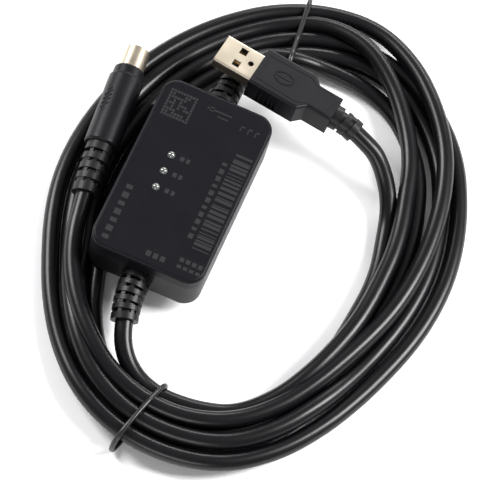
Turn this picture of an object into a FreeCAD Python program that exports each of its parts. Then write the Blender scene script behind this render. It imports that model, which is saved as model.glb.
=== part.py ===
import FreeCAD, Part
import math
import os
import Sketcher
from FreeCAD import Placement, Rotation, Vector

# USB to mini-DIN programming adapter: a two-shell interface module with a moulded
# cable at each end. Both cables lie wound together in one loose oval coil.
# Frame: millimetres, +Z up, z = 0 is the table. The module's centre stands over the
# origin and its long axis is Y. The module's underside rests one cable above the table.

doc = FreeCAD.newDocument("programming_adapter")
sheet = doc.addObject("Spreadsheet::Sheet", "Sizes")

SIZES = {
    # module housing
    "body_length": 68.0,
    "body_width": 40.0,
    "lower_depth": 13.0,
    "lid_depth": 5.0,
    "corner_round": 6.0,
    "edge_round": 1.2,
    "wall": 1.8,
    "lip_height": 1.2,
    "lip_wall": 0.9,
    "lip_gap": 0.1,
    "gland_side": 8.0,
    "gland_gap": 0.1,
    "gland_height": 6.5,
    "gland_offset": -0.8,
    # circuit board and what stands on it
    "board_length": 58.0,
    "board_width": 34.0,
    "board_thick": 1.2,
    "post_height": 3.0,
    "post_diameter": 3.6,
    "led_diameter": 2.9,
    "led_pitch": 6.5,
    "led_side": 7.2,
    "led_proud": 0.9,
    # cable and its moulded strain reliefs
    "cord_diameter": 6.0,
    "relief_length": 16.0,
    "relief_base": 10.6,
    "relief_tip": 9.2,
    # USB plug, type A
    "usb_width": 12.0,
    "usb_thick": 4.5,
    "usb_sheet": 0.3,
    "usb_reach": 14.3,
    "usb_embedded": 8.0,
    "usb_grip_width": 16.4,
    "usb_grip_thick": 9.2,
    "usb_grip_length": 19.8,
    "usb_neck_width": 10.6,
    "usb_neck_end": 30.2,
    "usb_relief_length": 9.2,
    # mini-DIN plug, eight pins
    "din_diameter": 9.0,
    "din_root_diameter": 8.0,
    "din_sheet": 0.4,
    "din_reach": 8.0,
    "din_embedded": 6.0,
    "din_grip_diameter": 12.0,
    "din_nose_diameter": 10.8,
    "din_nose_length": 3.5,
    "din_grip_length": 31.0,
    "din_relief_length": 18.4,
    "din_pin_diameter": 0.6,
    # wound cable
    "coil_middle_x": 26.2,
    "coil_middle_y": 4.1,
    "tie_width": 1.8,
    "tie_thick": 1.0,
}
for row, (alias, value) in enumerate(SIZES.items(), start=1):
    sheet.set("A%d" % row, alias)
    sheet.set("B%d" % row, str(value))
    sheet.setAlias("B%d" % row, alias)
doc.recompute()


def size(alias):
    """A driving dimension, read from the sheet."""
    return float(sheet.get(alias))


NODES = {}


def node(label, thing):
    """Give a finished sub-part its node name."""
    thing.Label = label
    NODES[label] = thing
    return thing


def bind(thing, **expressions):
    """Bind properties of an object to the sheet."""
    for name, expression in expressions.items():
        thing.setExpression(name, expression)
    return thing


def sized(text):
    """An expression in which every word that is a sheet alias is read from the sheet."""
    out = []
    for word in text.replace("(", " ( ").replace(")", " ) ").split():
        out.append("Sizes." + word if word in SIZES else word)
    return " ".join(out)


# ---------------------------------------------------------------- PartDesign helpers

def new_body(label):
    return node(label, doc.addObject("PartDesign::Body", label))


def origin_plane(body, role):
    return next(f for f in body.Origin.OriginFeatures if f.Role == role)


def new_sketch(body, name, role="XY_Plane", offset=None):
    sketch = body.newObject("Sketcher::SketchObject", body.Name + "_" + name)
    sketch.AttachmentSupport = [(origin_plane(body, role), "")]
    sketch.MapMode = "FlatFace"
    if offset:
        sketch.setExpression("AttachmentOffset.Base.z", sized(offset))
    return sketch


def centred_rectangle(sketch, width, length):
    """A rectangle about the sketch's origin, with both sides bound to the sheet."""
    corners = [Vector(-5, -5, 0), Vector(5, -5, 0), Vector(5, 5, 0), Vector(-5, 5, 0)]
    for i in range(4):
        sketch.addGeometry(Part.LineSegment(corners[i], corners[(i + 1) % 4]))
    for i in range(4):
        sketch.addConstraint(Sketcher.Constraint("Coincident", i, 2, (i + 1) % 4, 1))
    for i in (0, 2):
        sketch.addConstraint(Sketcher.Constraint("Horizontal", i))
    for i in (1, 3):
        sketch.addConstraint(Sketcher.Constraint("Vertical", i))
    sketch.addConstraint(Sketcher.Constraint("Symmetric", 0, 1, 2, 1, -1, 1))
    across = sketch.addConstraint(Sketcher.Constraint("DistanceX", 0, 1, 0, 2, 10.0))
    along = sketch.addConstraint(Sketcher.Constraint("DistanceY", 1, 1, 1, 2, 10.0))
    sketch.setExpression("Constraints[%d]" % across, sized(width))
    sketch.setExpression("Constraints[%d]" % along, sized(length))


def pad(body, sketch, length, name="Pad"):
    feature = body.newObject("PartDesign::Pad", body.Name + "_" + name)
    feature.Profile = sketch
    feature.setExpression("Length", sized(length))
    return feature


def pocket(body, sketch, depth, reverse=False, name="Pocket"):
    feature = body.newObject("PartDesign::Pocket", body.Name + "_" + name)
    feature.Profile = sketch
    feature.Reversed = reverse
    feature.setExpression("Length", sized(depth))
    return feature


def round_edges(body, base, radius, wanted, name="Fillet", kind="Fillet"):
    """Round, or chamfer, the edges of a feature that a test picks out."""
    doc.recompute()
    names = []
    for i, edge in enumerate(base.Shape.Edges, start=1):
        if wanted(edge):
            names.append("Edge%d" % i)
    feature = body.newObject("PartDesign::" + kind, body.Name + "_" + name)
    feature.Base = (base, names)
    feature.setExpression("Radius" if kind == "Fillet" else "Size", sized(radius))
    return feature


def upright(edge):
    """Is this a straight edge along Z?"""
    ends = [v.Point for v in edge.Vertexes]
    if len(ends) != 2:
        return False
    run = ends[1] - ends[0]
    return abs(run.x) < 1e-6 and abs(run.y) < 1e-6


def at_height(z):
    """A test for edges that lie at one height."""
    def test(edge):
        box = edge.BoundBox
        return abs(box.ZMin - z) < 1e-4 and abs(box.ZMax - z) < 1e-4
    return test


def add_block(body, name, sizes, corner, cut=False, turn=None):
    """A box feature. sizes and corner are three expressions each."""
    kind = "PartDesign::SubtractiveBox" if cut else "PartDesign::AdditiveBox"
    block = body.newObject(kind, body.Name + "_" + name)
    for side, text in zip(("Length", "Width", "Height"), sizes):
        block.setExpression(side, sized(text))
    if turn is not None:
        block.Placement = Placement(Vector(0, 0, 0), turn)
    for axis, text in zip("xyz", corner):
        block.setExpression("Placement.Base." + axis, sized(text))
    return block


def add_drum(body, name, diameter, height, base, cut=False, turn=None):
    """A cylinder feature. base is three expressions."""
    kind = "PartDesign::SubtractiveCylinder" if cut else "PartDesign::AdditiveCylinder"
    drum = body.newObject(kind, body.Name + "_" + name)
    drum.setExpression("Radius", sized("( " + diameter + " ) / 2"))
    drum.setExpression("Height", sized(height))
    if turn is not None:
        drum.Placement = Placement(Vector(0, 0, 0), turn)
    for axis, text in zip("xyz", base):
        drum.setExpression("Placement.Base." + axis, sized(text))
    return drum


# ---------------------------------------------------------------- Part helpers

def block(name, sizes, corner):
    """A plain box whose sides are expressions and whose corner is in millimetres."""
    thing = doc.addObject("Part::Box", name)
    for side, text in zip(("Length", "Width", "Height"), sizes):
        thing.setExpression(side, sized(text))
    thing.Placement.Base = Vector(*corner)
    return thing


def group(label, things):
    """Several separate solids of one kind, kept in one node."""
    compound = doc.addObject("Part::Compound", label)
    compound.Links = things
    return node(label, compound)


def shaped(label, shape, placement=None):
    """A sub-part whose shape is worked out with Part's own functions."""
    thing = doc.addObject("Part::Feature", label)
    thing.Shape = shape
    if placement:
        thing.Placement = placement
    return node(label, thing)


# ---------------------------------------------------------------- levels and places

UNDERSIDE = size("cord_diameter")
PARTING = UNDERSIDE + size("lower_depth")
TOP = PARTING + size("lid_depth")
END_WALL = size("body_length") / 2
GLAND_LEVEL = UNDERSIDE + size("gland_height")
BOARD_TOP = UNDERSIDE + size("wall") + size("post_height") + size("board_thick")

# A plug is drawn with its cable axis along its own Z and its mating end at +Z.
AXIS_TO_X = Rotation(Vector(1, 1, 1), 120)
USB_PLACE = Placement(Vector(6.1, 49.8, 21.0), Rotation(173.5, -2.0, 8.0).multiply(AXIS_TO_X))
DIN_PLACE = Placement(Vector(-33.7, 35.5, 12.0), Rotation(95.0, 0.0, -12.0).multiply(AXIS_TO_X))


# ---------------------------------------------------------------- module housing

def lower_shell():
    body = new_body("lower_shell")
    body.Placement.Base.z = UNDERSIDE
    outline = new_sketch(body, "outline")
    centred_rectangle(outline, "body_width", "body_length")
    tray = pad(body, outline, "lower_depth")
    rounded = round_edges(body, tray, "corner_round", upright, "Corners")
    round_edges(body, rounded, "edge_round", at_height(0.0), "Bottom_edge")
    inside = new_sketch(body, "inside", offset="lower_depth")
    centred_rectangle(inside, "body_width - 2 * wall", "body_length - 2 * wall")
    hollow = pocket(body, inside, "lower_depth - wall", name="Hollow")
    doc.recompute()
    inner = size("body_width") / 2 - size("wall")
    round_edges(
        body, hollow, "corner_round - wall",
        lambda e: upright(e) and abs(abs(e.Vertexes[0].Point.x) - inner) < 1e-6, "Inner_corners",
    )
    spread = (size("board_width") / 2 - 4.0, size("board_length") / 2 - 4.0)
    for i, (sx, sy) in enumerate(((-1, -1), (1, -1), (1, 1), (-1, 1))):
        foot = ("%s" % (sx * spread[0]), "%s" % (sy * spread[1]), "wall")
        add_drum(body, "post%d" % i, "post_diameter", "post_height", foot)
    for i, end in enumerate((-1, 1)):
        floor_level = "gland_height - gland_side / 2"
        add_block(
            body, "gland%d" % i,
            ("gland_side + 2 * gland_gap", "3 * wall", "lower_depth"),
            ("gland_offset - gland_side / 2 - gland_gap", "%s - 1.5 * wall" % (end * END_WALL),
             floor_level),
            cut=True,
        )
    return body


def upper_shell():
    body = new_body("upper_shell")
    body.Placement.Base.z = PARTING
    outline = new_sketch(body, "outline")
    centred_rectangle(outline, "body_width", "body_length")
    lid = pad(body, outline, "lid_depth")
    rounded = round_edges(body, lid, "corner_round", upright, "Corners")
    round_edges(body, rounded, "edge_round", at_height(size("lid_depth")), "Top_edge")
    lip = new_sketch(body, "lip")
    centred_rectangle(
        lip, "body_width - 2 * wall - 2 * lip_gap", "body_length - 2 * wall - 2 * lip_gap"
    )
    skirt = pad(body, lip, "lip_height", "Lip")
    skirt.Reversed = True
    doc.recompute()
    low = -size("lip_height") / 2
    round_edges(
        body, skirt, "corner_round - wall - lip_gap",
        lambda e: upright(e) and e.BoundBox.ZMax < 1e-6 and e.BoundBox.ZMin < low, "Lip_corners",
    )
    inside = new_sketch(body, "inside", offset="0 - lip_height")
    margin = "2 * wall + 2 * lip_gap + 2 * lip_wall"
    centred_rectangle(inside, "body_width - " + margin.replace("+", "-"),
                      "body_length - " + margin.replace("+", "-"))
    pocket(body, inside, "lip_height + lid_depth - wall", True, "Hollow")
    drop = "lower_depth - gland_height - gland_side / 2 - gland_gap"
    for i, end in enumerate((-1, 1)):
        add_block(
            body, "gland_cover%d" % i, ("gland_side", "wall", drop + " + 0.5"),
            ("gland_offset - gland_side / 2", "%s - wall / 2" % (end * (END_WALL - size("wall") / 2)),
             "0 - ( " + drop + " )"),
        )
    for i in (-1, 0, 1):
        add_drum(
            body, "led_hole%d" % (i + 1), "led_diameter + 0.2", "2 * wall",
            ("0 - led_side", "%d * led_pitch" % i, "lid_depth - 1.5 * wall"), cut=True,
        )
    return body


# ---------------------------------------------------------------- electronics

def circuit_board():
    body = new_body("circuit_board")
    body.Placement.Base.z = BOARD_TOP - size("board_thick")
    outline = new_sketch(body, "outline")
    centred_rectangle(outline, "board_width", "board_length")
    plate = pad(body, outline, "board_thick")
    return round_edges(body, plate, "1.5", upright, "Corners")


def status_led(label, place):
    """A clear dome on a flange, standing on two leads."""
    body = new_body(label)
    body.Placement.Base = Vector(-size("led_side"), place * size("led_pitch"), BOARD_TOP)
    dome = TOP - BOARD_TOP + size("led_proud")
    flange = dome - 5.6
    add_drum(body, "flange", "led_diameter + 0.7", "1.0", ("0", "0", "%s" % flange))
    add_drum(body, "barrel", "led_diameter", "%s - led_diameter / 2" % 5.6, ("0", "0", "%s" % flange))
    ball = body.newObject("PartDesign::AdditiveSphere", body.Name + "_dome")
    bind(ball, Radius="Sizes.led_diameter / 2")
    ball.setExpression("Placement.Base.z", sized("%s - led_diameter / 2" % dome))
    for i, side in enumerate((-1.27, 0.77)):
        add_block(body, "lead%d" % i, ("0.5", "0.5", "%s" % (flange + 0.2)), ("%s" % side, "-0.25", "0"))
    return body


def leaded_chip(label, centre, length, width, pins, pitch):
    """A small-outline chip: a moulded body with a row of feet on each long side."""
    body = new_body(label)
    body.Placement.Base = Vector(centre[0], centre[1], BOARD_TOP)
    add_block(body, "case", ("%s" % width, "%s" % length, "1.6"),
              ("%s" % (-width / 2), "%s" % (-length / 2), "0.15"))
    first = -(pins - 1) * pitch / 2
    for i in range(pins):
        add_block(
            body, "foot%d" % i, ("%s" % (width + 2.2), "0.3", "0.3"),
            ("%s" % (-width / 2 - 1.1), "%s" % (first + i * pitch - 0.15), "0"),
        )
    return body


def crystal():
    body = new_body("crystal")
    body.Placement.Base = Vector(5.0, -17.0, BOARD_TOP)
    can = add_block(body, "can", ("3.5", "8.0", "2.6"), ("-1.75", "-4.0", "0"))
    return round_edges(body, can, "1.5", upright, "Ends")


def bulk_capacitor():
    body = new_body("bulk_capacitor")
    body.Placement.Base = Vector(11.5, 17.0, BOARD_TOP)
    add_block(body, "base", ("5.2", "5.2", "0.8"), ("-2.6", "-2.6", "0"))
    add_drum(body, "can", "5.0", "5.0", ("0", "0", "0.5"))
    return body


def surface_parts(label, sizes, places):
    """A group of equal small chip components at rest on the board."""
    parts = []
    for i, (x, y) in enumerate(places):
        parts.append(block(
            "%s_%d" % (label, i), ["%s" % s for s in sizes],
            (x - sizes[0] / 2, y - sizes[1] / 2, BOARD_TOP),
        ))
    return group(label, parts)


def lead_wires(label, end):
    """Four insulated conductors from a gland's inner end down to pads on the board."""
    wires = []
    start = END_WALL - size("wall") - 1.7
    for i in range(4):
        x = size("gland_offset") - 2.4 + 1.6 * i
        points = [
            Vector(x, end * start, GLAND_LEVEL + 0.5),
            Vector(x, end * (start - 2.0), GLAND_LEVEL + 0.5),
            Vector(x * 1.3, end * (start - 4.2), BOARD_TOP + 0.75),
            Vector(x * 1.4, end * (start - 6.4), BOARD_TOP + 0.65),
        ]
        wires.append(tube(points, 1.2)[0])
    return shaped(label, Part.makeCompound(wires))


# ---------------------------------------------------------------- cables

def tube(points, diameter):
    """A round tube along straight runs joined by tangent arcs.

    Each arc is as large as its two runs allow. Returns the solid, the arc radii and
    the length of the path.
    """
    runs = [points[i + 1] - points[i] for i in range(len(points) - 1)]
    edges = []
    radii = []
    last = points[0]
    for i in range(1, len(points) - 1):
        before = runs[i - 1]
        after = runs[i]
        half = before.getAngle(after) / 2
        reach = 0.45 * min(before.Length, after.Length)
        radius = reach / math.tan(half)
        start = points[i] - Vector(before).normalize() * reach
        end = points[i] + Vector(after).normalize() * reach
        inward = (Vector(after).normalize() - Vector(before).normalize()).normalize()
        middle = points[i] + inward * (radius / math.cos(half) - radius)
        edges.append(Part.LineSegment(last, start).toShape())
        edges.append(Part.Arc(start, middle, end).toShape())
        radii.append(radius)
        last = end
    edges.append(Part.LineSegment(last, points[-1]).toShape())
    path = Part.Wire(edges)
    ring = Part.Wire([Part.makeCircle(diameter / 2, points[0], runs[0])])
    solid = path.makePipeShell([ring], True, False)
    expected = math.pi * diameter ** 2 / 4 * path.Length
    if abs(solid.Volume - expected) > 0.02 * expected:
        raise RuntimeError("tube volume is off: %.1f for %.1f" % (solid.Volume, expected))
    return solid, radii, path.Length


def cord(label, relief, points):
    """A cable from the end of a strain relief, straight out of it first."""
    start, heading = RELIEF_ENDS[relief]
    route = [start, start + heading * FIRST_RUN] + [Vector(*p) for p in points]
    for p in route:
        print("    %.2f, %.2f, %.2f" % tuple(p))
    solid, radii, length = tube(route, size("cord_diameter"))
    print(label, "length %.1f, radii" % length, " ".join("%.0f" % r for r in radii))
    return shaped(label, solid)


def along(start, heading, bend, length):
    """Points and directions along a gently bent axis, from its start to its length.

    heading is the first direction, bend the last one. The direction turns evenly.
    """
    first = Vector(heading).normalize()
    final = Vector(bend).normalize()

    def place(share):
        return (first * (1 - share) + final * share).normalize()

    steps = 24
    points = [Vector(*start)]
    for i in range(steps):
        points.append(points[-1] + place((i + 0.5) / steps) * (length / steps))

    def at(share):
        low = min(int(share * steps), steps - 1)
        rest = share * steps - low
        return points[low] * (1 - rest) + points[low + 1] * rest, place(share)
    return at


RELIEF_ENDS = {}


def strain_relief(label, start, heading, bend, length, base, tip, collars, core):
    """Collars on a slim core, joined by short bars that alternate round the axis."""
    at = along(start, heading, bend, length)
    RELIEF_ENDS[label] = at(1.0)
    pitch = 1.0 / collars
    margin = 0.4 * pitch
    ends = [at(margin)[0], at(0.34)[0], at(0.67)[0], at(1 - margin)[0]]
    solid = tube(ends, core)[0]
    for i in range(collars):
        share = (i + 0.5) * pitch
        thick = length * pitch * (0.62 if 0 < i < collars - 1 else 0.8)
        middle, direction = at(share)
        foot = middle - direction * (thick / 2)
        if i == 0:
            foot, direction = at(0.0)
        if i == collars - 1:
            end, direction = at(1.0)
            foot = end - direction * thick
        diameter = base + (tip - base) * share
        solid = solid.fuse(Part.makeCylinder(diameter / 2, thick, foot, direction))
        if i == collars - 1:
            continue
        middle, direction = at(share + pitch / 2)
        bar = Part.makeBox(diameter - 0.5, 2.0, length * pitch * 0.8)
        bar.translate(Vector(-(diameter - 0.5) / 2, -1.0, -length * pitch * 0.4))
        spin = Rotation(Vector(0, 0, 1), 45 + 90 * (i % 2))
        bar.Placement = Placement(middle, Rotation(Vector(0, 0, 1), direction).multiply(spin)).multiply(
            bar.Placement)
        solid = solid.fuse(bar)
    return solid.removeSplitter()


def module_relief(label, end, bend):
    """The gland moulded on a cable where it leaves the module: a square neck that both
    shells grip, a flange inside them, and the ribbed tail outside."""
    side = size("gland_side")
    wall = size("wall")
    across = size("gland_offset")
    tail = strain_relief(
        label, (across, end * END_WALL, GLAND_LEVEL), (0, end, 0), bend, size("relief_length"),
        size("relief_base"), size("relief_tip"), 6, 7.0,
    )
    neck = Part.makeBox(side, wall + 0.6, side)
    neck.translate(Vector(across - side / 2, -(wall + 0.6) / 2, GLAND_LEVEL - side / 2))
    neck.translate(Vector(0, end * (END_WALL - wall / 2 - 0.1), 0))
    flange = Part.makeBox(side + 3, 1.4, side + 1)
    flange.translate(Vector(across - (side + 3) / 2, -0.7, GLAND_LEVEL - (side + 1) / 2))
    flange.translate(Vector(0, end * (END_WALL - wall - 1.0), 0))
    return shaped(label, tail.fuse(neck).fuse(flange).removeSplitter())


# ---------------------------------------------------------------- USB plug

def usb_shell():
    body = new_body("usb_shell")
    body.Placement = USB_PLACE
    length = "usb_reach + usb_embedded"
    outer = add_block(body, "outer", ("usb_width", "usb_thick", length),
                      ("0 - usb_width / 2", "0 - usb_thick / 2", "0 - usb_embedded"))
    round_edges(body, outer, "0.6", upright, "Corners")
    add_block(body, "inner", ("usb_width - 2 * usb_sheet", "usb_thick - 2 * usb_sheet", length),
              ("usb_sheet - usb_width / 2", "usb_sheet - usb_thick / 2", "0 - usb_embedded"), cut=True)
    for i, side in enumerate((-1, 1)):
        add_block(body, "window%d" % i, ("2.6", "2 * usb_thick", "2.6"),
                  ("%s - 1.3" % (side * 2.9), "0 - usb_thick", "5.7"), cut=True)
    add_drum(body, "spot", "2.0", "usb_thick", ("0", "usb_thick", "2.8"), cut=True,
             turn=Rotation(Vector(1, 0, 0), 90))
    return body


def usb_tongue():
    body = new_body("usb_tongue")
    body.Placement = USB_PLACE
    add_block(body, "slab", ("usb_width - 2 * usb_sheet - 0.2", "1.9", "usb_reach + usb_embedded - 0.8"),
              ("usb_sheet + 0.1 - usb_width / 2", "usb_sheet - usb_thick / 2", "0 - usb_embedded"))
    add_block(body, "stop", ("usb_width - 2 * usb_sheet - 0.2", "usb_thick - 2 * usb_sheet", "4.0"),
              ("usb_sheet + 0.1 - usb_width / 2", "usb_sheet - usb_thick / 2", "0 - usb_embedded"))
    return body


def usb_contacts():
    strips = []
    for i, x in enumerate((-3.5, -1.0, 1.0, 3.5)):
        strip = block("usb_contact_%d" % i, ("1.0", "0.25", "usb_reach + 2.4"), (0, 0, 0))
        low = Placement(Vector(x - 0.5, size("usb_sheet") - size("usb_thick") / 2 + 1.9, -4.0), Rotation())
        strip.Placement = USB_PLACE.multiply(low)
        strips.append(strip)
    return group("usb_contacts", strips)


def usb_inner_mould():
    body = new_body("usb_inner_mould")
    body.Placement = USB_PLACE
    core = add_block(body, "core", ("usb_width - 2.0", "usb_grip_thick - 3.2", "9.0"),
                     ("1.0 - usb_width / 2", "1.6 - usb_grip_thick / 2", "0 - usb_embedded - 9.0"))
    return round_edges(body, core, "1.0", upright, "Corners")


def usb_overmould():
    """The grip: a wide block that steps in to a narrower neck."""
    body = new_body("usb_overmould")
    body.Placement = USB_PLACE
    plan = new_sketch(body, "plan", "XZ_Plane")
    wide = size("usb_grip_width") / 2
    slim = size("usb_neck_width") / 2
    long = size("usb_grip_length")
    right = [(wide, 0), (wide, -long + 1.2), (slim, -long - 1.4), (slim, -size("usb_neck_end"))]
    corners = right + [(-x, z) for x, z in reversed(right)]
    for i, (x, z) in enumerate(corners):
        nx, nz = corners[(i + 1) % len(corners)]
        plan.addGeometry(Part.LineSegment(Vector(x, z, 0), Vector(nx, nz, 0)))
    for i in range(len(corners)):
        plan.addConstraint(Sketcher.Constraint("Coincident", i, 2, (i + 1) % len(corners), 1))
    grip = pad(body, plan, "usb_grip_thick")
    grip.Midplane = True
    doc.recompute()

    def long_edge(edge):
        box = edge.BoundBox
        return box.YLength < 1e-6 and box.ZLength > 1e-6

    round_edges(body, grip, "0.9", long_edge, "Long_edges")
    add_block(body, "shell_pocket", ("usb_width + 0.02", "usb_thick + 0.02", "usb_embedded"),
              ("0 - usb_width / 2 - 0.01", "0 - usb_thick / 2 - 0.01", "0 - usb_embedded"), cut=True)
    add_block(body, "mould_pocket", ("usb_width - 2.0", "usb_grip_thick - 3.2", "9.0"),
              ("1.0 - usb_width / 2", "1.6 - usb_grip_thick / 2", "0 - usb_embedded - 9.0"), cut=True)
    for side in (-1, 1):
        for i in range(5):
            edge = "%s * usb_grip_width / 2 - 0.6" % side
            add_block(body, "groove%d_%d" % (side + 1, i), ("1.2", "usb_grip_thick - 2.4", "0.8"),
                      (edge, "1.2 - usb_grip_thick / 2", "%s" % (-5.2 - 1.6 * i)), cut=True)
    return body


def usb_strain_relief():
    place = USB_PLACE
    back = place.multVec(Vector(0, 0, -size("usb_neck_end")))
    heading = place.Rotation.multVec(Vector(0, 0, -1))
    bend = (0.93, -0.25, -0.28)
    return shaped("usb_strain_relief", strain_relief(
        "usb_strain_relief", back, heading, bend, size("usb_relief_length"), 8.6, 8.0, 3, 6.6))


# ---------------------------------------------------------------- mini-DIN plug

def din_barrel():
    body = new_body("din_barrel")
    body.Placement = DIN_PLACE
    add_drum(body, "root", "din_root_diameter", "din_embedded + 0.5", ("0", "0", "0 - din_embedded"))
    add_drum(body, "outer", "din_diameter", "din_reach", ("0", "0", "0"))
    add_drum(body, "mouth", "din_diameter - 2 * din_sheet", "din_reach", ("0", "0", "1.0"), cut=True)
    add_drum(body, "throat", "din_root_diameter - 2 * din_sheet", "din_reach + din_embedded",
             ("0", "0", "0 - din_embedded"), cut=True)
    return body


PIN_PLACES = ((-2.4, 0.3), (-0.8, 0.3), (0.8, 0.3), (2.4, 0.3),
              (-1.7, 2.0), (1.7, 2.0), (-0.9, -1.6), (0.9, -1.6))


def din_insulator():
    body = new_body("din_insulator")
    body.Placement = DIN_PLACE
    add_drum(body, "disc", "din_root_diameter - 2 * din_sheet - 0.1", "7.0", ("0", "0", "0 - din_embedded"))
    for i, (x, y) in enumerate(PIN_PLACES):
        add_drum(body, "hole%d" % i, "din_pin_diameter", "8.0", ("%s" % x, "%s" % y, "0 - din_embedded"),
                 cut=True)
    add_block(body, "key", ("2.4", "0.9", "6.2"), ("-1.2", "-3.4", "0"))
    return body


def din_pins():
    pins = []
    for i, (x, y) in enumerate(PIN_PLACES):
        pin = doc.addObject("Part::Cylinder", "din_pin_%d" % i)
        bind(pin, Radius="Sizes.din_pin_diameter / 2", Height="Sizes.din_reach + Sizes.din_embedded - 1.0")
        pin.Placement = DIN_PLACE.multiply(Placement(Vector(x, y, -size("din_embedded")), Rotation()))
        pins.append(pin)
    return group("din_pins", pins)


def din_inner_mould():
    body = new_body("din_inner_mould")
    body.Placement = DIN_PLACE
    add_drum(body, "core", "din_root_diameter", "12.0", ("0", "0", "0 - din_embedded - 12.0"))
    return body


def din_overmould():
    """The round grip, with a slim nose and a thumb scoop on each side."""
    body = new_body("din_overmould")
    body.Placement = DIN_PLACE
    grip = add_drum(body, "grip", "din_grip_diameter", "din_grip_length - din_nose_length",
                    ("0", "0", "0 - din_grip_length"))
    round_edges(
        body, grip, "0.9", lambda e: at_height(-size("din_nose_length"))(e)
        or at_height(-size("din_grip_length"))(e), "Rims",
    )
    nose = add_drum(body, "nose", "din_nose_diameter", "din_nose_length + 0.9",
                    ("0", "0", "0 - din_nose_length - 0.9"))
    round_edges(body, nose, "0.8", at_height(0.0), "Nose_rim")
    add_drum(body, "barrel_pocket", "din_root_diameter", "din_embedded", ("0", "0", "0 - din_embedded"), cut=True)
    add_drum(body, "mould_pocket", "din_root_diameter", "12.0", ("0", "0", "0 - din_embedded - 12.0"), cut=True)
    for i, side in enumerate((-1, 1)):
        add_drum(body, "scoop%d" % i, "80.0", "14.0",
                 ("%s * ( din_grip_diameter / 2 + 40.0 - 0.7 )" % side, "7.0", "-14.5"), cut=True,
                 turn=Rotation(Vector(1, 0, 0), 90))
    return body


def din_strain_relief():
    back = DIN_PLACE.multVec(Vector(0, 0, -size("din_grip_length")))
    heading = DIN_PLACE.Rotation.multVec(Vector(0, 0, -1))
    bend = (0.16, -0.98, -0.04)
    return shaped("din_strain_relief", strain_relief(
        "din_strain_relief", back, heading, bend, size("din_relief_length"), 9.6, 8.8, 5, 7.0))


# ---------------------------------------------------------------- wound cable and ties

# Outline of the coil, as the distance from its middle at every 15 degrees round from +X.
OUTLINE = [68.8, 70.6, 74.6, 81.2, 87.2, 92.6, 94.1, 88.6, 81.4, 75.4, 71.4, 69.2,
           68.7, 69.3, 70.6, 75.1, 81.0, 87.3, 88.9, 87.2, 80.9, 73.5, 69.2, 68.4]

# Width of the band of turns, by angle, and the inner and outer side of the second layer
# of turns, as distances in from the outline.
BAND_WIDTH = [(0, 26.5), (30, 27.0), (60, 27.5), (90, 29.5), (120, 23.5), (150, 23.5), (180, 24.0),
              (210, 23.5), (240, 22.5), (270, 21.5), (300, 22.0), (330, 22.5)]
SECOND_OUTER = [(-125, 0.8), (-100, 0.3), (-70, 0.3), (-45, 3.5), (-20, 10.0), (10, 10.0), (40, 7.5),
                (60, 4.5), (70, 2.5)]
SECOND_INNER = [(70, 21.0), (55, 24.0), (30, 26.0), (0, 25.0), (-30, 21.5), (-60, 21.0), (-90, 17.5),
                (-110, 15.0), (-125, 13.0)]


def outline_at(angle):
    """Distance of the coil's outline from its middle, between the listed angles."""
    step = angle / 15.0
    low = math.floor(step)
    share = step - low
    return OUTLINE[low % 24] * (1 - share) + OUTLINE[(low + 1) % 24] * share


def coil_point(angle, inset, z):
    """A point of the coil at an angle, a distance in from the outline."""
    reach = outline_at(angle) - inset
    turn = math.radians(angle)
    return Vector(size("coil_middle_x") + reach * math.cos(turn),
                  size("coil_middle_y") + reach * math.sin(turn), z)


# Each tie crosses the band: middle of the crossing, direction of the tie, length, height.
TIES = {
    "coil_tie_near": ((19.2, -76.2), -105.0, 32.0, 10.6),
    "coil_tie_far": ((12.6, 77.9), 96.0, 36.0, 7.8),
}


def through(points, closed=False):
    """A smooth edge through points."""
    curve = Part.BSplineCurve()
    curve.interpolate(points, PeriodicFlag=closed)
    return curve.toShape()


def cable_coil():
    layer = size("cord_diameter")
    outside = through([coil_point(15 * i, 0, 0) for i in range(24)], True)
    inside = through([coil_point(angle, width, 0) for angle, width in BAND_WIDTH], True)
    up = Vector(0, 0, layer)
    band = Part.Face(Part.Wire([outside])).extrude(up).cut(Part.Face(Part.Wire([inside])).extrude(up))
    outer = [coil_point(angle, inset, layer) for angle, inset in SECOND_OUTER]
    inner = [coil_point(angle, inset, layer) for angle, inset in SECOND_INNER]
    rim = Part.Wire([
        through(outer), Part.LineSegment(outer[-1], inner[0]).toShape(),
        through(inner), Part.LineSegment(inner[-1], outer[0]).toShape(),
    ])
    upper = Part.Face(rim).extrude(Vector(0, 0, layer * 0.9))
    solid = band.fuse(upper).removeSplitter()
    for middle, direction, length, height in TIES.values():
        groove = Part.makeBox(length + 4, size("tie_width") + 0.2, size("tie_thick"))
        groove.translate(Vector(-length / 2 - 2, -size("tie_width") / 2 - 0.1, 0))
        groove.rotate(Vector(0, 0, 0), Vector(0, 0, 1), direction)
        groove.translate(Vector(middle[0], middle[1], 0))
        solid = solid.cut(groove)
    return shaped("cable_coil", solid)


def coil_tie(label):
    """A flat closed strip round the band, with rounded corners."""
    (x, y), direction, length, height = TIES[label]
    thick = size("tie_thick")
    outer = Part.makeBox(length, size("tie_width"), height + 2 * thick)
    outer.translate(Vector(-length / 2, -size("tie_width") / 2, 0))
    inner = Part.makeBox(length - 2 * thick, 2 * size("tie_width"), height)
    inner.translate(Vector(-length / 2 + thick, -size("tie_width"), thick))
    strip = outer.makeFillet(1.6, [e for e in outer.Edges if across(e)])
    hole = inner.makeFillet(0.6, [e for e in inner.Edges if across(e)])
    return shaped(label, strip.cut(hole), Placement(
        Vector(x, y, 0), Rotation(Vector(0, 0, 1), direction)))


def across(edge):
    """Is this a straight edge along Y?"""
    box = edge.BoundBox
    return box.XLength < 1e-6 and box.ZLength < 1e-6 and box.YLength > 1e-6


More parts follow.
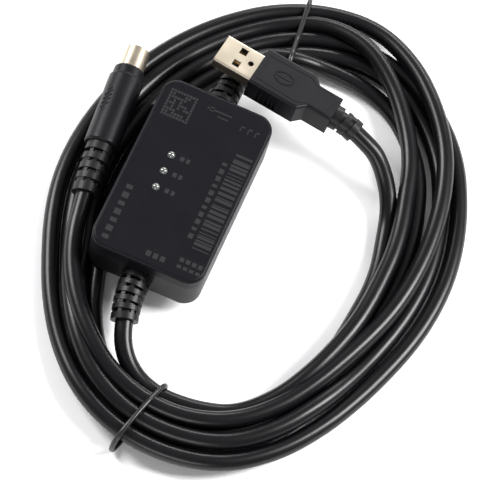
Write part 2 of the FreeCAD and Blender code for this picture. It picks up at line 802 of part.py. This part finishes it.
# Routes of the stretches that aren't wound, from where each has left its strain relief
# to the place where it joins the coil.
FIRST_RUN = 5.0
USB_PLUG_RUN = [(54.6, 42.0, 14.9), (59.8, 38.2, 10.6), (63.9, 33.2, 7.0), (66.6, 27.2, 4.4),
                (68.2, 20.4, 3.2), (68.9, 12.8, 3.1)]
USB_MODULE_RUN = [(6.4, -59.4, 8.2), (11.6, -63.4, 6.2), (18.0, -65.6, 4.8), (25.0, -66.2, 4.2)]
DIN_PLUG_RUN = [(-26.2, -27.6, 11.2), (-23.2, -36.4, 10.6), (-18.6, -44.9, 10.0), (-12.8, -52.6, 9.4),
                (-6.0, -59.4, 9.0)]
DIN_MODULE_RUN = [(1.9, 60.0, 8.3), (5.4, 64.6, 6.6), (10.8, 68.0, 5.1), (17.4, 70.2, 4.5),
                  (24.6, 71.8, 3.1)]


lower_shell()
upper_shell()
circuit_board()
for label, place in (("status_led_near", -1), ("status_led_middle", 0), ("status_led_far", 1)):
    status_led(label, place)
leaded_chip("usb_bridge_chip", (4.0, -5.0), 10.2, 5.3, 14, 0.65)
leaded_chip("line_driver_chip", (5.0, 12.0), 4.9, 3.9, 4, 1.27)
crystal()
bulk_capacitor()
surface_parts("chip_resistors", (1.6, 0.8, 0.5),
              [(-8.0, 14.0 + 1.6 * i) for i in range(4)] + [(12.5, -8.0 + 1.8 * i) for i in range(5)])
surface_parts("chip_capacitors", (1.25, 2.0, 0.9),
              [(-3.0, -12.0), (-5.0, -12.0), (0.0, 4.5), (2.5, 4.5), (11.0, 6.0), (-1.0, 15.0)])
module_relief("usb_side_relief", -1, (0.29, -0.93, -0.17))
module_relief("din_side_relief", 1, (0.08, 0.97, -0.20))
lead_wires("usb_side_wires", -1)
lead_wires("din_side_wires", 1)
usb_shell()
usb_tongue()
usb_contacts()
usb_inner_mould()
usb_overmould()
usb_strain_relief()
din_barrel()
din_insulator()
din_pins()
din_inner_mould()
din_overmould()
din_strain_relief()
cable_coil()
for label in TIES:
    coil_tie(label)
cord("usb_cord_plug_run", "usb_strain_relief", USB_PLUG_RUN)
cord("usb_cord_module_run", "usb_side_relief", USB_MODULE_RUN)
cord("din_cord_plug_run", "din_strain_relief", DIN_PLUG_RUN)
cord("din_cord_module_run", "din_side_relief", DIN_MODULE_RUN)

doc.recompute()
for thing in doc.Objects:
    if "Invalid" in thing.State or "Error" in thing.State:
        raise RuntimeError("%s failed: %s" % (thing.Label, thing.State))
for label, thing in NODES.items():
    if thing.Shape.isNull() or not thing.Shape.isValid() or thing.Shape.Volume <= 0:
        raise RuntimeError("%s has no valid shape" % label)
os.makedirs("parts", exist_ok=True)
for label, thing in NODES.items():
    thing.Shape.exportStep("parts/%s.step" % label)
print(len(NODES), "nodes")
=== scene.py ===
import math
import random

import bpy
from mathutils import Matrix, Vector


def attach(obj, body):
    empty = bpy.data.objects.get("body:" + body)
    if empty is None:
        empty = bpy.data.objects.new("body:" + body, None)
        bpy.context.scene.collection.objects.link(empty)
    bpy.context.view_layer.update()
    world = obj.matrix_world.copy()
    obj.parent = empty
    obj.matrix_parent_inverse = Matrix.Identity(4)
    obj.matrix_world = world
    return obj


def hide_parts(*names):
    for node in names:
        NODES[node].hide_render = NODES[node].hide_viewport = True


# USB to mini-DIN programming adapter, its cables wound in one tied oval coil.
# Metres, in the frame of the CAD model: +Z up, +Y along the module, the table at z = 0.
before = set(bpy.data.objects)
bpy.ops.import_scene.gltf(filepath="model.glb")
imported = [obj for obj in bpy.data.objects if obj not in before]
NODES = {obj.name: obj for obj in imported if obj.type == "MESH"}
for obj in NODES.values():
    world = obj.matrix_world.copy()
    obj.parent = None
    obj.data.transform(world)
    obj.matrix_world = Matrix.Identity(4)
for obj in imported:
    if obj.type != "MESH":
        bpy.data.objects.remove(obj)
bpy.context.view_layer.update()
random.seed(7)
MM = 0.001


# ---------------------------------------------------------------- camera

AZIMUTH = math.radians(7.25)
ELEVATION = math.radians(64.0)
ROLL = math.radians(17.04)
TARGET = Vector((23.94, -0.57, 0.0)) * MM
DISTANCE = 0.9577
LENS_LENGTH = 213.07


def set_camera():
    """A long lens that looks down on the coil from in front, rolled about its own axis."""
    back = Vector((
        math.sin(AZIMUTH) * math.cos(ELEVATION),
        -math.cos(AZIMUTH) * math.cos(ELEVATION),
        math.sin(ELEVATION),
    ))
    level = Vector((math.cos(AZIMUTH), math.sin(AZIMUTH), 0.0))
    upright = back.cross(level)
    right = level * math.cos(ROLL) + upright * math.sin(ROLL)
    up = upright * math.cos(ROLL) - level * math.sin(ROLL)
    data = bpy.data.cameras.new("view")
    data.sensor_width = 36.0
    data.lens = LENS_LENGTH
    data.clip_start = 0.05
    data.clip_end = 10.0
    camera = bpy.data.objects.new("view", data)
    bpy.context.scene.collection.objects.link(camera)
    turn = Matrix((right, up, back)).transposed().to_4x4()
    camera.matrix_world = Matrix.Translation(TARGET + back * DISTANCE) @ turn
    bpy.context.scene.camera = camera


set_camera()


# ---------------------------------------------------------------- materials

def material(name, colour, roughness, metallic=0.0, grain=0.0, grain_size=900.0,
             coat=0.0, mottle=0.0, specular=0.5):
    """A principled surface. grain is fine bump, mottle an unevenness of the gloss."""
    made = bpy.data.materials.new(name)
    made.use_nodes = True
    tree = made.node_tree
    shader = tree.nodes["Principled BSDF"]
    shader.inputs["Base Color"].default_value = (*colour, 1.0)
    shader.inputs["Roughness"].default_value = roughness
    shader.inputs["Metallic"].default_value = metallic
    shader.inputs["Coat Weight"].default_value = coat
    shader.inputs["Specular IOR Level"].default_value = specular
    place = tree.nodes.new("ShaderNodeTexCoord")
    if mottle:
        cloud = tree.nodes.new("ShaderNodeTexNoise")
        cloud.inputs["Scale"].default_value = 140.0
        cloud.inputs["Detail"].default_value = 6.0
        tree.links.new(place.outputs["Object"], cloud.inputs["Vector"])
        spread = tree.nodes.new("ShaderNodeMapRange")
        spread.inputs["To Min"].default_value = max(0.0, roughness - mottle)
        spread.inputs["To Max"].default_value = min(1.0, roughness + mottle)
        tree.links.new(cloud.outputs["Fac"], spread.inputs["Value"])
        tree.links.new(spread.outputs["Result"], shader.inputs["Roughness"])
    if grain:
        noise = tree.nodes.new("ShaderNodeTexNoise")
        noise.inputs["Scale"].default_value = grain_size
        noise.inputs["Detail"].default_value = 3.0
        tree.links.new(place.outputs["Object"], noise.inputs["Vector"])
        bump = tree.nodes.new("ShaderNodeBump")
        bump.inputs["Strength"].default_value = grain
        bump.inputs["Distance"].default_value = 0.0001
        tree.links.new(noise.outputs["Fac"], bump.inputs["Height"])
        tree.links.new(bump.outputs["Normal"], shader.inputs["Normal"])
    return made


HOUSING = material("housing", (0.005, 0.005, 0.006), 0.42, grain=0.5, grain_size=1500.0,
                   mottle=0.08, specular=0.20)
LID = material("lid", (0.0042, 0.004, 0.0058), 0.42, grain=0.5, grain_size=1500.0,
               mottle=0.06, specular=0.12)
RELIEF = material("relief", (0.007, 0.007, 0.0075), 0.40, mottle=0.06, specular=0.26)
JACKET = material("jacket", (0.003, 0.0026, 0.0034), 0.31, grain=0.05, grain_size=500.0,
                  mottle=0.04, specular=0.30)
GRIP = material("grip", (0.0045, 0.0045, 0.006), 0.36, grain=0.25, grain_size=1200.0,
                mottle=0.06, specular=0.20)
PLATED = material("plated_shell", (0.66, 0.58, 0.46), 0.30, metallic=1.0, mottle=0.08)
INSULATOR = material("insulator", (0.03, 0.03, 0.033), 0.5)
CONTACT = material("contact", (0.86, 0.62, 0.28), 0.25, metallic=1.0)
INNER = material("inner_mould", (0.55, 0.55, 0.52), 0.5)
BOARD = material("board", (0.02, 0.16, 0.07), 0.4)
CHIP = material("chip", (0.02, 0.02, 0.02), 0.5)
CAN = material("metal_can", (0.7, 0.7, 0.7), 0.3, metallic=1.0)
CERAMIC = material("ceramic", (0.45, 0.33, 0.2), 0.5)
LENS = material("led_lens", (0.09, 0.095, 0.09), 0.07, coat=1.0, specular=1.0)
WIRE = material("wire", (0.35, 0.03, 0.03), 0.4)
TIE = material("tie", (0.006, 0.006, 0.0065), 0.34)
MARK = material("mark", (0.016, 0.016, 0.017), 0.5, specular=0.2)

LOOKS = {
    "lower_shell": HOUSING, "upper_shell": LID, "circuit_board": BOARD,
    "status_led_near": LENS, "status_led_middle": LENS, "status_led_far": LENS,
    "usb_bridge_chip": CHIP, "line_driver_chip": CHIP, "crystal": CAN, "bulk_capacitor": CAN,
    "chip_resistors": CHIP, "chip_capacitors": CERAMIC, "usb_side_relief": RELIEF,
    "din_side_relief": RELIEF, "usb_side_wires": WIRE, "din_side_wires": WIRE,
    "usb_shell": PLATED, "usb_tongue": INSULATOR, "usb_contacts": CONTACT,
    "usb_inner_mould": INNER, "usb_overmould": GRIP, "usb_strain_relief": RELIEF,
    "din_barrel": PLATED, "din_insulator": INSULATOR, "din_pins": CONTACT,
    "din_inner_mould": INNER, "din_overmould": GRIP, "din_strain_relief": RELIEF,
    "coil_tie_near": TIE, "coil_tie_far": TIE,
}
# Width of the rounding added to a piece's edges, in millimetres.
SOFTENED = {
    "lower_shell": 0.5, "upper_shell": 0.5, "usb_overmould": 0.35, "din_overmould": 0.3,
    "usb_side_relief": 0.2, "din_side_relief": 0.2, "usb_strain_relief": 0.2,
    "din_strain_relief": 0.2, "usb_shell": 0.08, "din_barrel": 0.08,
}


def dress(name, look):
    """Give a CAD piece its material, smooth curved faces and slightly rounded edges."""
    piece = NODES[name]
    piece.data.materials.clear()
    piece.data.materials.append(look)
    for face in piece.data.polygons:
        face.use_smooth = True
    if name in SOFTENED:
        bevel = piece.modifiers.new("soft_edges", "BEVEL")
        bevel.width = SOFTENED[name] * MM
        bevel.segments = 2
        bevel.limit_method = "ANGLE"
        bevel.angle_limit = math.radians(40)
    split = piece.modifiers.new("crisp", "EDGE_SPLIT")
    split.split_angle = math.radians(35)


for name, look in LOOKS.items():
    dress(name, look)


# ---------------------------------------------------------------- new pieces

def add_mesh(name, vertices, faces, look):
    """A mesh piece from its vertices and faces."""
    mesh = bpy.data.meshes.new(name)
    mesh.from_pydata(vertices, [], faces)
    mesh.materials.append(look)
    piece = bpy.data.objects.new(name, mesh)
    bpy.context.scene.collection.objects.link(piece)
    return piece


def add_bar_faces(faces, start):
    """The top and four sides of a box, whose lower and upper four corners start at start."""
    faces.append((start + 4, start + 5, start + 6, start + 7))
    for i in range(4):
        j = (i + 1) % 4
        faces.append((start + i, start + j, start + 4 + j, start + 4 + i))


def add_round_curve(name, points, radius, sides, steps, look, closed=False):
    """A round strand along one smooth spline. Points and radius are in millimetres."""
    data = bpy.data.curves.new(name, "CURVE")
    data.dimensions = "3D"
    data.bevel_depth = radius * MM
    data.bevel_resolution = sides
    data.use_fill_caps = not closed
    spline = data.splines.new("NURBS")
    spline.points.add(len(points) - 1)
    for point, (x, y, z) in zip(spline.points, points):
        point.co = (x * MM, y * MM, z * MM, 1.0)
    spline.use_cyclic_u = closed
    spline.order_u = 3
    spline.use_endpoint_u = not closed
    spline.resolution_u = steps
    data.materials.append(look)
    piece = bpy.data.objects.new(name, data)
    bpy.context.scene.collection.objects.link(piece)
    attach(piece, "root")
    return piece


# ---------------------------------------------------------------- cables

CORD = 6.0
COIL_MIDDLE = (26.2, 4.1)
OUTLINE_STEP = 15.0
TURN_STEP = 12.0

# Outline of the coil, as the distance from its middle at every 15 degrees round from +X.
OUTLINE = [70.2, 72.2, 75.8, 82.0, 87.6, 92.6, 93.6, 88.4, 81.6, 76.0, 72.2, 70.0,
           69.5, 70.1, 71.4, 75.9, 81.8, 88.1, 89.8, 88.4, 82.5, 75.2, 70.8, 69.8]

# How each cable runs in the coil, counter-clockwise: angle, distance of its centre in from
# the outline, and height. It changes lane where the turns cross.
USB_LANES = [
    (-72, 18.8, 4.0), (-64, 19.2, 5.2), (-56, 19.5, 7.8), (-46, 19.6, 9.0), (-24, 21.0, 8.9),
    (-7, 23.0, 8.8), (18, 24.0, 8.9), (35, 25.0, 9.0), (55, 22.8, 9.0), (68, 20.0, 9.0),
    (80, 14.0, 9.0), (86, 11.4, 8.9), (92, 8.8, 6.4), (100, 8.4, 3.4), (108, 8.6, 3.0),
    (129, 8.9, 3.0), (180, 9.4, 3.0), (210, 9.8, 3.0), (218, 9.6, 4.4), (226, 9.2, 7.2),
    (234, 8.6, 9.0), (246, 7.4, 9.0), (258, 6.6, 8.6), (285, 6.8, 8.8), (300, 8.2, 9.0),
    (308, 8.9, 8.6), (318, 9.4, 6.6), (330, 9.9, 3.4), (345, 10.2, 3.0), (375, 10.2, 3.0),
    (400, 11.4, 3.0), (420, 13.2, 3.0), (437, 15.8, 3.0), (450, 20.4, 3.0), (460, 20.8, 3.0),
    (489, 21.0, 3.0), (540, 22.0, 3.0), (578, 21.0, 3.0), (598, 15.8, 3.0), (612, 12.2, 3.0),
    (630, 11.2, 3.0), (655, 13.4, 3.0), (680, 19.8, 3.0), (705, 24.0, 3.0), (720, 25.4, 3.0),
    (728, 26.6, 3.1),
]
DIN_LANES = [
    (-108, 12.6, 9.8), (-90, 13.0, 8.9), (-60, 15.6, 8.9), (-40, 15.6, 9.0), (-16, 14.8, 8.2),
    (15, 13.4, 8.4), (51, 9.8, 9.0), (66, 8.2, 8.8), (80, 3.2, 5.6), (92, 2.9, 3.0),
    (129, 3.0, 3.0), (180, 3.1, 3.0), (218, 3.4, 3.0), (240, 2.0, 4.4), (250, 1.0, 6.6),
    (258, 0.2, 7.2), (285, 0.2, 7.2), (305, 2.2, 5.6), (325, 3.4, 3.4), (340, 3.6, 3.0),
    (375, 3.6, 3.0), (400, 4.8, 3.0), (422, 7.4, 3.0), (442, 11.5, 3.0), (453, 14.2, 3.0),
    (464, 14.6, 3.0), (489, 15.0, 3.0), (540, 15.7, 3.0), (578, 15.2, 3.0), (598, 9.4, 3.0),
    (612, 5.4, 3.0), (630, 4.3, 3.0), (650, 6.2, 3.0), (675, 13.2, 3.0), (700, 17.4, 3.0),
    (720, 18.2, 3.0), (745, 19.0, 3.0), (765, 20.0, 3.0), (786, 21.8, 3.0), (799, 24.6, 3.0),
]


def outline_at(angle):
    """Distance of the coil's outline from its middle, between the listed angles."""
    step = angle / OUTLINE_STEP
    low = math.floor(step)
    share = step - low
    here = OUTLINE[low % len(OUTLINE)]
    ahead = OUTLINE[(low + 1) % len(OUTLINE)]
    return here * (1 - share) + ahead * share


def wound(lanes):
    """Points of the turns, from the first lane angle to the last, in millimetres."""
    first = lanes[0][0]
    last = lanes[-1][0]
    count = round((last - first) / TURN_STEP)
    points = []
    for i in range(count + 1):
        angle = first + (last - first) * i / count
        for before, after in zip(lanes, lanes[1:]):
            if before[0] <= angle <= after[0]:
                break
        share = (angle - before[0]) / (after[0] - before[0])
        inset = before[1] + (after[1] - before[1]) * share
        height = before[2] + (after[2] - before[2]) * share
        reach = outline_at(angle) - inset
        turn = math.radians(angle)
        x = COIL_MIDDLE[0] + reach * math.cos(turn)
        y = COIL_MIDDLE[1] + reach * math.sin(turn)
        points.append((x, y, height))
    return points


# Routes of the stretches that aren't wound, from each strain relief to the coil.
USB_PLUG_ROUTE = [
    (44.98, 44.70, 18.49), (49.62, 43.46, 17.10), (54.6, 42.0, 14.9), (59.8, 38.2, 10.6),
    (63.9, 33.2, 7.0), (66.6, 27.2, 4.4), (68.2, 20.4, 3.2),
]
USB_MODULE_ROUTE = [
    (1.57, -49.68, 11.11), (3.04, -54.38, 10.25), (6.4, -59.4, 8.2), (11.6, -63.4, 6.2),
    (18.0, -65.6, 4.8), (25.0, -66.2, 4.2), (36.0, -65.0, 4.2),
]
DIN_PLUG_ROUTE = [
    (-28.71, -13.63, 11.63), (-27.91, -18.56, 11.43), (-26.2, -27.6, 11.2), (-23.2, -36.4, 10.6),
    (-18.6, -44.9, 10.6), (-12.8, -52.6, 10.8), (-6.0, -59.4, 10.7),
]
DIN_MODULE_ROUTE = [
    (-0.15, 49.87, 10.88), (0.25, 54.75, 9.88), (1.9, 60.0, 8.3), (5.4, 64.6, 6.6),
    (10.8, 66.8, 7.4), (17.4, 69.0, 6.4), (24.6, 71.0, 3.6),
]


def cable(name, points):
    """A cable along its whole route."""
    piece = add_round_curve(name, points, CORD / 2, 8, 6, JACKET)
    return piece


usb_cable = cable("usb_cable", USB_MODULE_ROUTE + wound(USB_LANES) + USB_PLUG_ROUTE[::-1])
din_cable = cable("din_cable", DIN_MODULE_ROUTE + wound(DIN_LANES)[::-1] + DIN_PLUG_ROUTE[::-1])
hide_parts("usb_cord_plug_run", "usb_cord_module_run", "cable_coil")
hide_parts("din_cord_plug_run", "din_cord_module_run")


# ---------------------------------------------------------------- ties

TIE_RADIUS = 0.9


def loop_tie(name, stands_for, middle, direction, profile):
    """A thin strip round the bundle. profile is (distance along, height) in millimetres."""
    turn = math.radians(direction)
    points = []
    for distance, height in profile:
        x = middle[0] + distance * math.cos(turn)
        y = middle[1] + distance * math.sin(turn)
        points.append((x, y, height))
    piece = add_round_curve(name, points, TIE_RADIUS, 3, 8, TIE, closed=True)
    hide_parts(stands_for)
    return piece


NEAR_PROFILE = [
    (-13.4, 1.6), (-14.6, 4.6), (-13.8, 8.2), (-10.0, 10.2), (-5.0, 12.3), (0.0, 12.6), (5.0, 12.5),
    (9.6, 11.8), (12.6, 9.6), (13.8, 6.4), (13.4, 3.2), (11.6, 1.1), (0.0, 1.1), (-10.0, 1.1),
]
FAR_PROFILE = [
    (-16.0, 1.6), (-16.8, 4.8), (-15.8, 9.4), (-11.6, 11.6), (-7.0, 9.6), (-3.0, 7.4), (1.0, 7.0),
    (7.0, 7.0), (12.4, 7.0), (15.0, 6.0), (16.2, 3.4), (15.2, 1.1), (0.0, 1.1), (-12.0, 1.1),
]
tie_near = loop_tie("tie_near", "coil_tie_near", (18.8, -76.6), -105.0, NEAR_PROFILE)
tie_far = loop_tie("tie_far", "coil_tie_far", (12.6, 77.9), 96.0, FAR_PROFILE)


# ---------------------------------------------------------------- low relief

LID_TOP = 24.0
MARK_ROOT = 0.2
MARK_HEIGHT = 0.08
LED_PITCH = 6.5
BAR_ROOT = 0.3
UP = Vector((0.0, 0.0, 1.0))


def marks():
    """Low raised generic marks on the lid: plain patches, dashes and bars that spell nothing."""
    vertices = []
    faces = []

    def patch(x, y, wide, tall):
        start = len(vertices)
        for z in (LID_TOP - MARK_ROOT, LID_TOP + MARK_HEIGHT):
            for sx, sy in ((-1, -1), (1, -1), (1, 1), (-1, 1)):
                vertices.append(((x + sx * wide / 2) * MM, (y + sy * tall / 2) * MM, z * MM))
        add_bar_faces(faces, start)

    # a square block with a full rim and a random filling
    cells = 9
    rim = (0, cells - 1)
    for i in range(cells):
        for j in range(cells):
            if i in rim or j in rim or random.random() < 0.45:
                patch(-16.4 + 1.1 * i, 19.6 + 1.2 * j, 0.85, 0.95)
    # a column of bars, uneven in thickness and spacing
    y = 16.0
    while y > -22.0:
        tall = random.choice((0.4, 0.6, 0.9, 1.2))
        patch(15.2, y, 6.0, tall)
        y -= tall + random.choice((0.45, 0.6, 0.9))
    # a column of dashes beside the bars, and one along the other side
    for i in range(11):
        patch(10.2, 11.0 - 2.9 * i, 1.7, 1.9 if i % 3 else 1.2)
    for i in range(7):
        patch(-15.0, -10.5 - 3.3 * i, 2.3, 2.2 if i % 2 else 1.6)
    # a blunt line, a shorter one, and three hooks at the far end
    patch(1.2, 28.2, 9.0, 0.5)
    patch(3.0, 26.4, 4.0, 0.45)
    patch(-1.6, 28.2, 1.4, 1.6)
    for x in (10.5, 13.2, 15.9):
        patch(x, 26.6, 1.5, 0.5)
        patch(x - 0.6, 25.6, 0.4, 2.0)
    # rows of patches at the near end
    for i in range(3):
        patch(0.2 + 2.5 * i, -29.8, 1.7, 2.0)
    for i in range(4):
        patch(11.0 + 2.2 * i, -27.2, 1.5, 1.6)
        patch(11.0 + 2.2 * i, -29.8, 1.5, 1.2)
    # two patches beside each LED
    for i in (-1, 0, 1):
        patch(-3.3, LED_PITCH * i, 1.5, 1.7)
        patch(-1.2, LED_PITCH * i, 1.2, 1.7)
    piece = add_mesh("lid_marks", vertices, faces, MARK)
    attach(piece, "root")


marks()


def raised_bars(name, look, bars):
    """Small raised bars in one mesh, their roots sunk into the piece below.

    Each bar is its centre, length axis, normal, length, width and height.
    """
    vertices = []
    faces = []
    for centre, along, normal, length, width, height in bars:
        across = normal.cross(along)
        start = len(vertices)
        for lift in (-BAR_ROOT, height):
            for sl, sw in ((-1, -1), (1, -1), (1, 1), (-1, 1)):
                corner = centre + along * (sl * length / 2) + across * (sw * width / 2) + normal * lift
                vertices.append(tuple(corner * MM))
        add_bar_faces(faces, start)
    piece = add_mesh(name, vertices, faces, look)
    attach(piece, "root")
    return piece


# Where each plug's mating axis leaves its grip, and how the plug is turned, as in the CAD.
USB_BASE = Vector((6.1, 49.8, 21.0))
USB_TURN = (
    Matrix.Rotation(math.radians(173.5), 3, "Z")
    @ Matrix.Rotation(math.radians(-2.0), 3, "Y")
    @ Matrix.Rotation(math.radians(8.0), 3, "X")
)
USB_FACE = 4.6
DIN_BASE = Vector((-33.7, 35.5, 12.0))
DIN_YAW = math.radians(95.0)


def usb_grip_relief():
    """A thin outline and a plain ring emblem on the USB grip's upper face."""
    mating, side, normal = USB_TURN.col
    bars = []

    def at(back, across):
        return USB_BASE - mating * back + side * across + normal * USB_FACE

    def line(start, end, width=0.32, height=0.1):
        first, last = at(*start), at(*end)
        run = last - first
        bars.append(((first + last) / 2, run.normalized(), normal, run.length + width, width, height))

    outline = [
        (1.6, -5.4), (1.6, 5.4), (17.2, 6.0), (20.6, 4.2), (27.6, 4.2), (27.6, -4.2), (20.6, -4.2),
        (17.2, -6.0),
    ]
    for start, end in zip(outline, outline[1:] + outline[:1]):
        line(start, end)
    sides = 16
    ring_back = 9.6
    ring = []
    for i in range(sides + 1):
        angle = 2 * math.pi * i / sides
        ring.append((ring_back + 3.4 * math.cos(angle), 2.4 * math.sin(angle)))
    for start, end in zip(ring, ring[1:]):
        line(start, end, 0.5, 0.14)
    line((ring_back - 2.0, 0.0), (ring_back + 2.0, 0.0), 0.6, 0.14)
    return raised_bars("usb_grip_outline", GRIP, bars)


def din_grip_ridges():
    """Slanting thumb ridges on the side of the round grip that faces up and left."""
    count = 6
    first_back = 11.0
    spacing = 1.7
    grip_radius = 5.85
    axis = Vector((math.cos(DIN_YAW), math.sin(DIN_YAW), 0.0))
    lean = math.radians(38.0)
    normal = UP * math.cos(lean) + UP.cross(axis) * math.sin(lean)
    run = (axis.cross(normal) + axis * 0.8).normalized()
    bars = []
    for i in range(count):
        length = 3.4 if 0 < i < count - 1 else 2.0
        centre = DIN_BASE - axis * (first_back + spacing * i) + normal * grip_radius
        bars.append((centre, run, normal, length, 0.55, 0.25))
    return raised_bars("din_grip_ridges", GRIP, bars)


def relief_bars(name, start, heading, bend, length, base, tip, collars):
    """Bars that bridge the gaps between a strain relief's collars.

    The axis starts along heading and ends along bend. base and tip are diameters.
    """
    first = Vector(heading).normalized()
    final = Vector(bend).normalized()
    round_count = 6
    sunk = 0.75
    bars = []
    for i in range(collars - 1):
        share = (i + 1.0) / collars
        direction = first.lerp(final, share).normalized()
        middle = Vector(start) + first.lerp(final, share / 2).normalized() * (length * share)
        level = UP.cross(direction).normalized()
        upward = direction.cross(level)
        radius = (base + (tip - base) * share) / 2
        for k in range(round_count):
            angle = math.radians(360 / round_count * k + 30 * (i % 2))
            normal = level * math.cos(angle) + upward * math.sin(angle)
            centre = middle + normal * (radius - sunk)
            bars.append((centre, direction, normal, length / collars, 1.3, 0.35))
    return raised_bars(name, RELIEF, bars)


# Each strain relief's length, base and tip diameter, and number of collars, as in the CAD.
MODULE_RELIEF = (16.0, 10.6, 9.2, 6)
DIN_RELIEF = (18.4, 9.6, 8.8, 5)
usb_grip_piece = usb_grip_relief()
din_ridge_piece = din_grip_ridges()
relief_bars("usb_side_bars", (-0.8, -34.0, 12.5), (0, -1, 0), (0.29, -0.93, -0.17), *MODULE_RELIEF)
relief_bars("din_side_bars", (-0.8, 34.0, 12.5), (0, 1, 0), (0.08, 0.97, -0.20), *MODULE_RELIEF)
din_bar_piece = relief_bars(
    "din_relief_bars", (-31.0, 4.62, 12.0), (0.0872, -0.9962, 0), (0.16, -0.98, -0.04), *DIN_RELIEF
)


# ---------------------------------------------------------------- floor and light

FLOOR_REACH = 1.5
AIM = Vector((0.02, 0.0, 0.0))


def add_floor():
    """A pale matt floor, level with the table."""
    corners = [(sx * FLOOR_REACH, sy * FLOOR_REACH, 0) for sx, sy in ((-1, -1), (1, -1), (1, 1), (-1, 1))]
    look = material("floor", (0.93, 0.93, 0.94), 0.9, specular=0.0)
    add_mesh("floor", corners, [(0, 1, 2, 3)], look)


def add_light(name, place, power, width, length):
    """A rectangular soft light aimed at the coil."""
    data = bpy.data.lights.new(name, "AREA")
    data.shape = "RECTANGLE"
    data.size = width
    data.size_y = length
    data.energy = power
    light = bpy.data.objects.new(name, data)
    bpy.context.scene.collection.objects.link(light)
    light.location = place
    light.rotation_euler = (AIM - Vector(place)).to_track_quat("-Z", "Y").to_euler()


def add_sky(strength):
    """Even white light from all round."""
    world = bpy.data.worlds.new("studio")
    world.use_nodes = True
    background = world.node_tree.nodes["Background"]
    background.inputs["Color"].default_value = (1.0, 1.0, 1.0, 1.0)
    background.inputs["Strength"].default_value = strength
    bpy.context.scene.world = world


add_floor()
add_light("key", (0.80, 0.30, 0.80), 20.0, 0.30, 0.60)
add_light("side", (-0.85, 0.20, 0.70), 12.0, 0.35, 0.60)
add_light("back", (0.0, 1.15, 0.60), 9.0, 0.90, 0.25)
add_light("front", (0.1, -1.1, 0.5), 5.0, 0.70, 0.30)
add_sky(0.30)
bpy.context.scene.view_settings.view_transform = "Standard"
bpy.context.scene.view_settings.look = "None"

bpy.context.view_layer.update()
